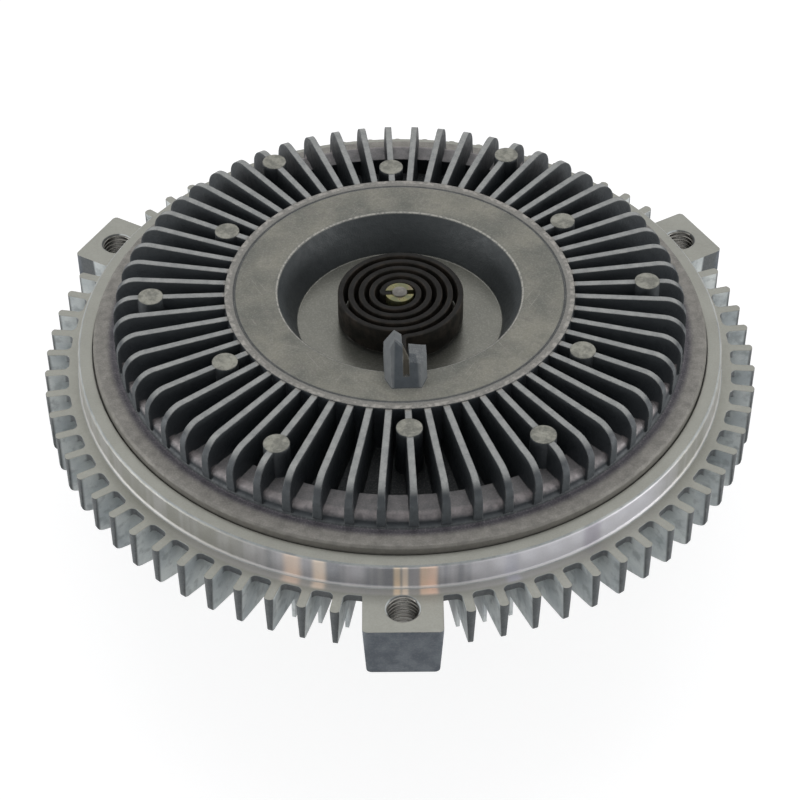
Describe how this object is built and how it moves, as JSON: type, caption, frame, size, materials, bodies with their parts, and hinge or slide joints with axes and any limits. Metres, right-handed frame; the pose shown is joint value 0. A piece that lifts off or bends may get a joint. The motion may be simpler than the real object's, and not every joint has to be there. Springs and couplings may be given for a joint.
{
  "type": "viscous fan clutch",
  "caption": "Viscous fan clutch: finned die-cast cover over a toothed housing with tapped fan lugs, a bimetal coil that turns the valve, and a hexagonal drive collar behind.",
  "frame": {"origin": "centre of the rear face of the hexagonal drive collar, at the mouth of its thread", "axes": "+Z along the shaft towards the front of the clutch (coil side); -Y towards the fan lug at the front of the picture"},
  "size_m": [0.144, 0.1477, 0.0775],
  "materials": {
    "cover_casting": "die-cast, sand-grey with dark fin sides",
    "housing_casting": "die-cast, turned on the pilot lip and flange face",
    "bimetal_strip": "dark brown oxidised strip",
    "zinc_plated": "yellow passivated zinc",
    "bright_steel": "ground steel",
    "shaft_steel": "turned steel with a light oil film",
    "sheet_steel": "pressed sheet",
    "rotor_alloy": "turned alloy",
    "spring_steel": "black phosphated",
    "seal_rubber": "black rubber",
    "cage_plastic": "moulded polyamide"
  },
  "bodies": {
    "drive": {"drive_shaft": "shaft_steel", "rotor": "rotor_alloy", "bearing_inner_ring": "bright_steel"},
    "housing": {"front_cover": "cover_casting", "rear_housing": "housing_casting", "cover_seal": "seal_rubber", "bimetal_coil": "bimetal_strip", "pump_plate": "sheet_steel", "pump_plate_rivets": "bright_steel", "bearing_outer_ring": "bright_steel", "bearing_seal_front": "seal_rubber", "bearing_seal_rear": "seal_rubber", "bearing_retaining_ring": "spring_steel"},
    "bearing_cages": {"bearing_balls_front": "bright_steel", "bearing_balls_rear": "bright_steel", "bearing_cage_front": "cage_plastic", "bearing_cage_rear": "cage_plastic"},
    "valve": {"valve_shaft": "bright_steel", "coil_arbor": "zinc_plated", "valve_lever": "sheet_steel", "valve_shaft_seal": "seal_rubber", "valve_thrust_washer": "sheet_steel"}
  },
  "joints": [
    {"name": "housing_spin", "type": "hinge", "parent": "drive", "child": "housing", "pos_m": [0, 0, 0.053], "axis": [0, 0, 1], "continuous": true},
    {"name": "cage_spin", "type": "hinge", "parent": "drive", "child": "bearing_cages", "pos_m": [0, 0, 0.0315], "axis": [0, 0, 1], "continuous": true},
    {"name": "valve_turn", "type": "hinge", "parent": "housing", "child": "valve", "pos_m": [0, 0, 0.0615], "axis": [0, 0, 1], "range_deg": [0, 30], "stiffness_Nm_per_rad": 0.02, "deforming": ["bimetal_coil"]}
  ],
  "couplings": [
    {"joint": "cage_spin", "follows": "housing_spin", "ratio": 0.57639}
  ]
}
